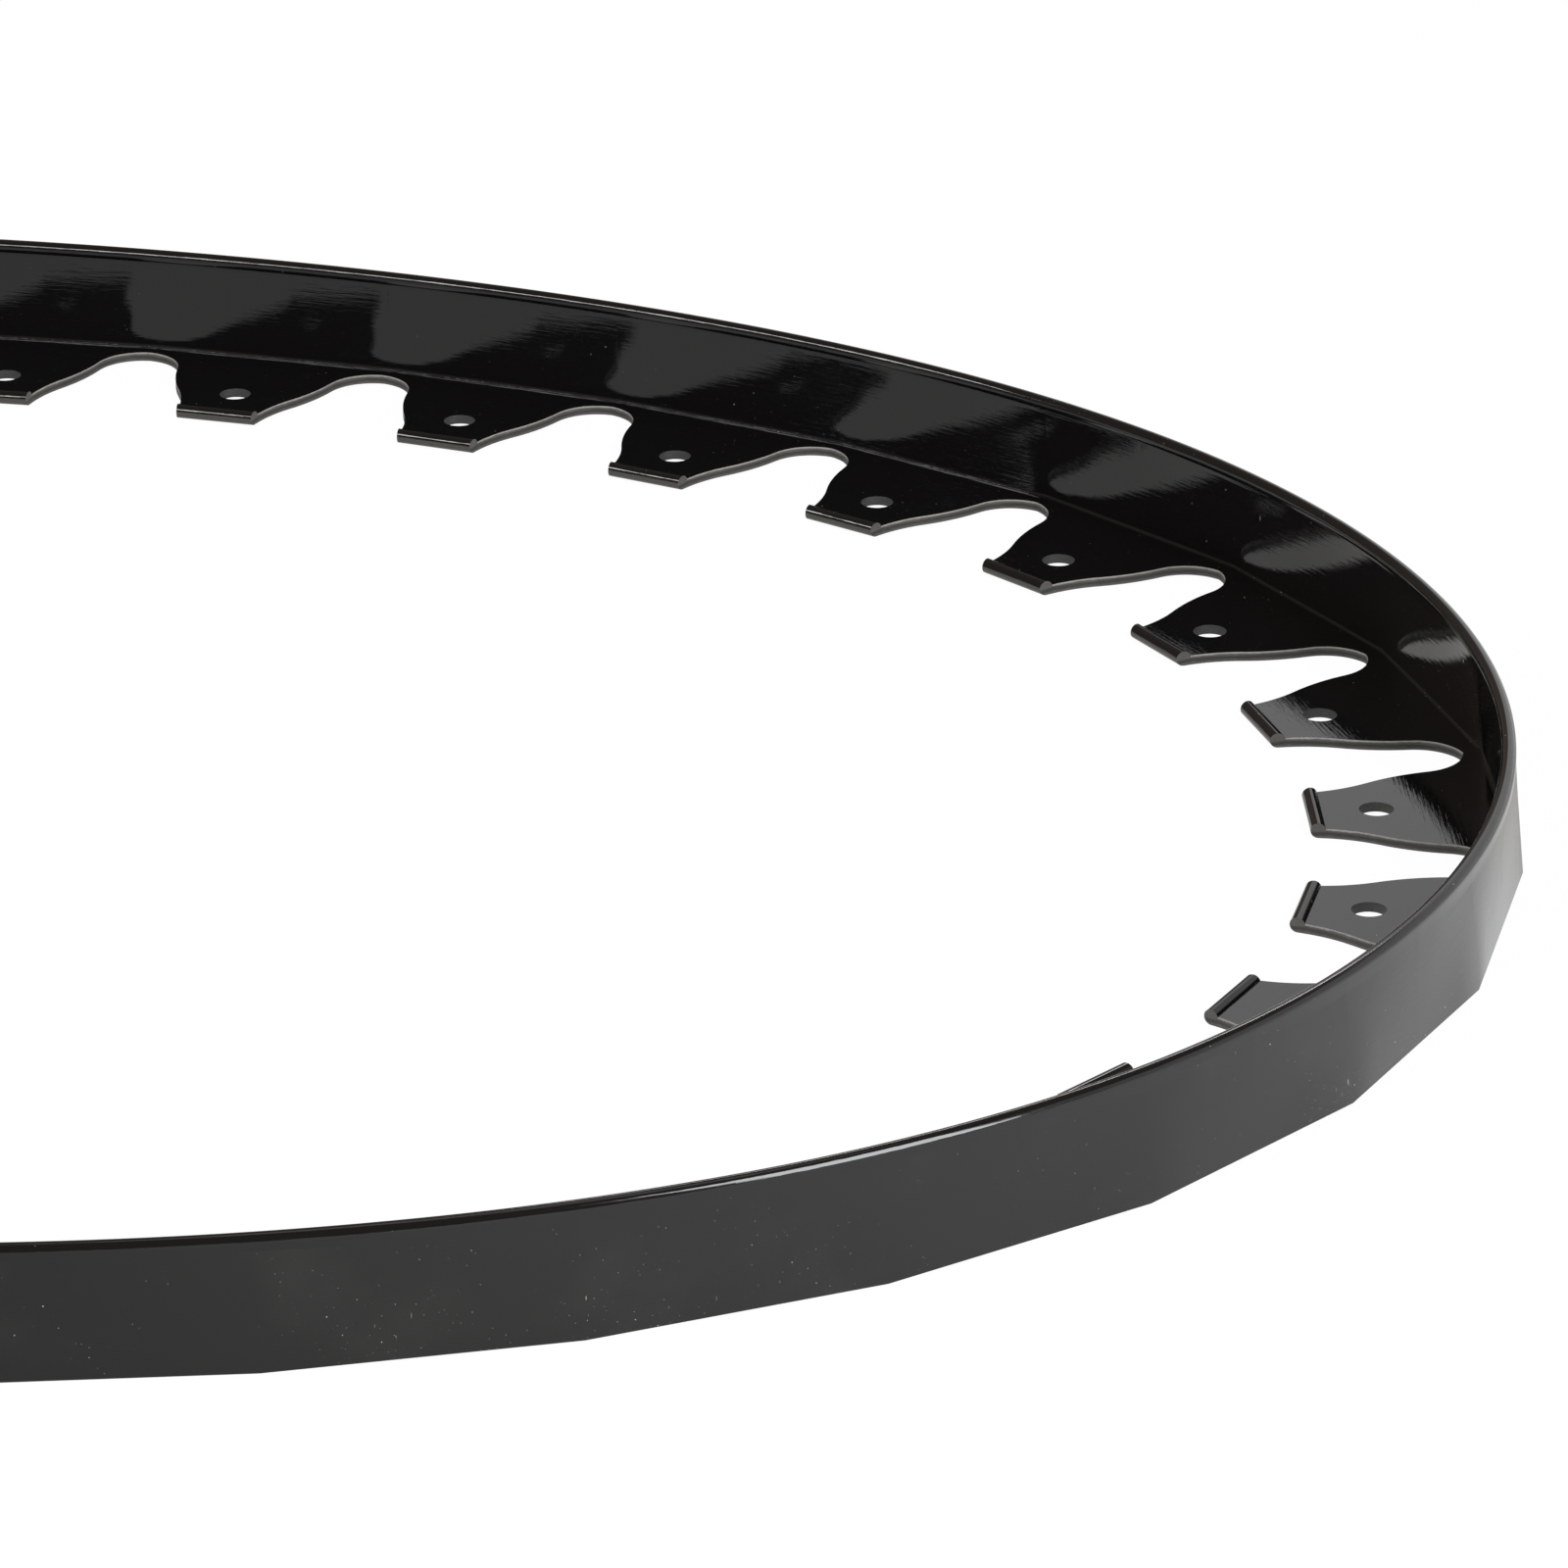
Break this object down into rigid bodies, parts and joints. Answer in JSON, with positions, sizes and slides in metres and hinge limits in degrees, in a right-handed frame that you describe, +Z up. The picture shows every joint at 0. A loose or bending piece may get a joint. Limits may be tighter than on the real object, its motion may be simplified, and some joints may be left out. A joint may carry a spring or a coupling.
{
  "type": "landscape edging hoop",
  "caption": "L-shaped flexible plastic lawn edging, notched into tabs with stake holes along its flange, bent round into an oval planting-bed hoop.",
  "frame": {"origin": "on the ground under the middle of the oval", "axes": "+Z up; +X along the oval's longer axis, towards the middle tab of the strip; the two free ends meet at -X"},
  "size_m": [1.0726, 0.768, 0.038],
  "materials": {
    "black_plastic": "glossy extruded black polyethylene, matte grey where it is cut"
  },
  "bodies": {
    "edging_segment_01": {"edging_segment_01": "black_plastic"},
    "edging_segment_02": {"edging_segment_02": "black_plastic"},
    "edging_segment_03": {"edging_segment_03": "black_plastic"},
    "edging_segment_04": {"edging_segment_04": "black_plastic"},
    "edging_segment_05": {"edging_segment_05": "black_plastic"},
    "edging_segment_06": {"edging_segment_06": "black_plastic"},
    "edging_segment_07": {"edging_segment_07": "black_plastic"},
    "edging_segment_08": {"edging_segment_08": "black_plastic"},
    "edging_segment_09": {"edging_segment_09": "black_plastic"},
    "edging_segment_10": {"edging_segment_10": "black_plastic"},
    "edging_segment_11": {"edging_segment_11": "black_plastic"},
    "edging_segment_12": {"edging_segment_12": "black_plastic"},
    "edging_segment_13": {"edging_segment_13": "black_plastic"},
    "edging_segment_14": {"edging_segment_14": "black_plastic"},
    "edging_segment_15": {"edging_segment_15": "black_plastic"},
    "edging_segment_16": {"edging_segment_16": "black_plastic"},
    "edging_segment_17": {"edging_segment_17": "black_plastic"},
    "edging_segment_18": {"edging_segment_18": "black_plastic"},
    "edging_segment_19": {"edging_segment_19": "black_plastic"},
    "edging_segment_20": {"edging_segment_20": "black_plastic"},
    "edging_segment_21": {"edging_segment_21": "black_plastic"},
    "edging_segment_22": {"edging_segment_22": "black_plastic"},
    "edging_segment_23": {"edging_segment_23": "black_plastic"},
    "edging_segment_24": {"edging_segment_24": "black_plastic"},
    "edging_segment_25": {"edging_segment_25": "black_plastic"},
    "edging_segment_26": {"edging_segment_26": "black_plastic"},
    "edging_segment_27": {"edging_segment_27": "black_plastic"},
    "edging_segment_28": {"edging_segment_28": "black_plastic"},
    "edging_segment_29": {"edging_segment_29": "black_plastic"},
    "edging_segment_30": {"edging_segment_30": "black_plastic"},
    "edging_segment_31": {"edging_segment_31": "black_plastic"},
    "edging_segment_32": {"edging_segment_32": "black_plastic"},
    "edging_segment_33": {"edging_segment_33": "black_plastic"},
    "edging_segment_34": {"edging_segment_34": "black_plastic"},
    "edging_segment_35": {"edging_segment_35": "black_plastic"}
  },
  "joints": [
    {"name": "notch_17_flex", "type": "hinge", "parent": "edging_segment_18", "child": "edging_segment_17", "pos_m": [0.53633, -0.042, 0], "axis": [0, 0, 1], "range_deg": [0, 15.25], "stiffness_Nm_per_rad": 0.3},
    {"name": "notch_16_flex", "type": "hinge", "parent": "edging_segment_17", "child": "edging_segment_16", "pos_m": [0.51423, -0.12304, 0], "axis": [0, 0, 1], "range_deg": [0, 14.62], "stiffness_Nm_per_rad": 0.3},
    {"name": "notch_15_flex", "type": "hinge", "parent": "edging_segment_16", "child": "edging_segment_15", "pos_m": [0.47239, -0.19588, 0], "axis": [0, 0, 1], "range_deg": [0, 13.43], "stiffness_Nm_per_rad": 0.3},
    {"name": "notch_14_flex", "type": "hinge", "parent": "edging_segment_15", "child": "edging_segment_14", "pos_m": [0.41477, -0.257, 0], "axis": [0, 0, 1], "range_deg": [0, 11.85], "stiffness_Nm_per_rad": 0.3},
    {"name": "notch_13_flex", "type": "hinge", "parent": "edging_segment_14", "child": "edging_segment_13", "pos_m": [0.34583, -0.30499, 0], "axis": [0, 0, 1], "range_deg": [0, 10.06], "stiffness_Nm_per_rad": 0.3},
    {"name": "notch_12_flex", "type": "hinge", "parent": "edging_segment_13", "child": "edging_segment_12", "pos_m": [0.26957, -0.34021, 0], "axis": [0, 0, 1], "range_deg": [0, 8.3], "stiffness_Nm_per_rad": 0.3},
    {"name": "notch_11_flex", "type": "hinge", "parent": "edging_segment_12", "child": "edging_segment_11", "pos_m": [0.18902, -0.36404, 0], "axis": [0, 0, 1], "range_deg": [0, 6.79], "stiffness_Nm_per_rad": 0.3},
    {"name": "notch_10_flex", "type": "hinge", "parent": "edging_segment_11", "child": "edging_segment_10", "pos_m": [0.10622, -0.37818, 0], "axis": [0, 0, 1], "range_deg": [0, 5.74], "stiffness_Nm_per_rad": 0.3},
    {"name": "notch_09_flex", "type": "hinge", "parent": "edging_segment_10", "child": "edging_segment_09", "pos_m": [0.02242, -0.38397, 0], "axis": [0, 0, 1], "range_deg": [0, 5.26], "stiffness_Nm_per_rad": 0.3},
    {"name": "notch_08_flex", "type": "hinge", "parent": "edging_segment_09", "child": "edging_segment_08", "pos_m": [-0.06156, -0.38206, 0], "axis": [0, 0, 1], "range_deg": [0, 5.42], "stiffness_Nm_per_rad": 0.3},
    {"name": "notch_07_flex", "type": "hinge", "parent": "edging_segment_08", "child": "edging_segment_07", "pos_m": [-0.14498, -0.37222, 0], "axis": [0, 0, 1], "range_deg": [0, 6.2], "stiffness_Nm_per_rad": 0.3},
    {"name": "notch_06_flex", "type": "hinge", "parent": "edging_segment_07", "child": "edging_segment_06", "pos_m": [-0.22686, -0.35344, 0], "axis": [0, 0, 1], "range_deg": [0, 7.5], "stiffness_Nm_per_rad": 0.3},
    {"name": "notch_05_flex", "type": "hinge", "parent": "edging_segment_06", "child": "edging_segment_05", "pos_m": [-0.30558, -0.32412, 0], "axis": [0, 0, 1], "range_deg": [0, 9.16], "stiffness_Nm_per_rad": 0.3},
    {"name": "notch_04_flex", "type": "hinge", "parent": "edging_segment_05", "child": "edging_segment_04", "pos_m": [-0.37862, -0.28265, 0], "axis": [0, 0, 1], "range_deg": [0, 10.96], "stiffness_Nm_per_rad": 0.3},
    {"name": "notch_03_flex", "type": "hinge", "parent": "edging_segment_04", "child": "edging_segment_03", "pos_m": [-0.44245, -0.22804, 0], "axis": [0, 0, 1], "range_deg": [0, 12.68], "stiffness_Nm_per_rad": 0.3},
    {"name": "notch_02_flex", "type": "hinge", "parent": "edging_segment_03", "child": "edging_segment_02", "pos_m": [-0.49273, -0.16075, 0], "axis": [0, 0, 1], "range_deg": [0, 14.09], "stiffness_Nm_per_rad": 0.3},
    {"name": "notch_01_flex", "type": "hinge", "parent": "edging_segment_02", "child": "edging_segment_01", "pos_m": [-0.52512, -0.08325, 0], "axis": [0, 0, 1], "range_deg": [0, 15.01], "stiffness_Nm_per_rad": 0.3},
    {"name": "notch_18_flex", "type": "hinge", "parent": "edging_segment_18", "child": "edging_segment_19", "pos_m": [0.53633, 0.042, 0], "axis": [0, 0, -1], "range_deg": [0, 15.25], "stiffness_Nm_per_rad": 0.3},
    {"name": "notch_19_flex", "type": "hinge", "parent": "edging_segment_19", "child": "edging_segment_20", "pos_m": [0.51423, 0.12304, 0], "axis": [0, 0, -1], "range_deg": [0, 14.62], "stiffness_Nm_per_rad": 0.3},
    {"name": "notch_20_flex", "type": "hinge", "parent": "edging_segment_20", "child": "edging_segment_21", "pos_m": [0.47239, 0.19588, 0], "axis": [0, 0, -1], "range_deg": [0, 13.43], "stiffness_Nm_per_rad": 0.3},
    {"name": "notch_21_flex", "type": "hinge", "parent": "edging_segment_21", "child": "edging_segment_22", "pos_m": [0.41477, 0.257, 0], "axis": [0, 0, -1], "range_deg": [0, 11.85], "stiffness_Nm_per_rad": 0.3},
    {"name": "notch_22_flex", "type": "hinge", "parent": "edging_segment_22", "child": "edging_segment_23", "pos_m": [0.34583, 0.30499, 0], "axis": [0, 0, -1], "range_deg": [0, 10.06], "stiffness_Nm_per_rad": 0.3},
    {"name": "notch_23_flex", "type": "hinge", "parent": "edging_segment_23", "child": "edging_segment_24", "pos_m": [0.26957, 0.34021, 0], "axis": [0, 0, -1], "range_deg": [0, 8.3], "stiffness_Nm_per_rad": 0.3},
    {"name": "notch_24_flex", "type": "hinge", "parent": "edging_segment_24", "child": "edging_segment_25", "pos_m": [0.18902, 0.36404, 0], "axis": [0, 0, -1], "range_deg": [0, 6.79], "stiffness_Nm_per_rad": 0.3},
    {"name": "notch_25_flex", "type": "hinge", "parent": "edging_segment_25", "child": "edging_segment_26", "pos_m": [0.10622, 0.37818, 0], "axis": [0, 0, -1], "range_deg": [0, 5.74], "stiffness_Nm_per_rad": 0.3},
    {"name": "notch_26_flex", "type": "hinge", "parent": "edging_segment_26", "child": "edging_segment_27", "pos_m": [0.02242, 0.38397, 0], "axis": [0, 0, -1], "range_deg": [0, 5.26], "stiffness_Nm_per_rad": 0.3},
    {"name": "notch_27_flex", "type": "hinge", "parent": "edging_segment_27", "child": "edging_segment_28", "pos_m": [-0.06156, 0.38206, 0], "axis": [0, 0, -1], "range_deg": [0, 5.42], "stiffness_Nm_per_rad": 0.3},
    {"name": "notch_28_flex", "type": "hinge", "parent": "edging_segment_28", "child": "edging_segment_29", "pos_m": [-0.14498, 0.37222, 0], "axis": [0, 0, -1], "range_deg": [0, 6.2], "stiffness_Nm_per_rad": 0.3},
    {"name": "notch_29_flex", "type": "hinge", "parent": "edging_segment_29", "child": "edging_segment_30", "pos_m": [-0.22686, 0.35344, 0], "axis": [0, 0, -1], "range_deg": [0, 7.5], "stiffness_Nm_per_rad": 0.3},
    {"name": "notch_30_flex", "type": "hinge", "parent": "edging_segment_30", "child": "edging_segment_31", "pos_m": [-0.30558, 0.32412, 0], "axis": [0, 0, -1], "range_deg": [0, 9.16], "stiffness_Nm_per_rad": 0.3},
    {"name": "notch_31_flex", "type": "hinge", "parent": "edging_segment_31", "child": "edging_segment_32", "pos_m": [-0.37862, 0.28265, 0], "axis": [0, 0, -1], "range_deg": [0, 10.96], "stiffness_Nm_per_rad": 0.3},
    {"name": "notch_32_flex", "type": "hinge", "parent": "edging_segment_32", "child": "edging_segment_33", "pos_m": [-0.44245, 0.22804, 0], "axis": [0, 0, -1], "range_deg": [0, 12.68], "stiffness_Nm_per_rad": 0.3},
    {"name": "notch_33_flex", "type": "hinge", "parent": "edging_segment_33", "child": "edging_segment_34", "pos_m": [-0.49273, 0.16075, 0], "axis": [0, 0, -1], "range_deg": [0, 14.09], "stiffness_Nm_per_rad": 0.3},
    {"name": "notch_34_flex", "type": "hinge", "parent": "edging_segment_34", "child": "edging_segment_35", "pos_m": [-0.52512, 0.08325, 0], "axis": [0, 0, -1], "range_deg": [0, 15.01], "stiffness_Nm_per_rad": 0.3}
  ]
}
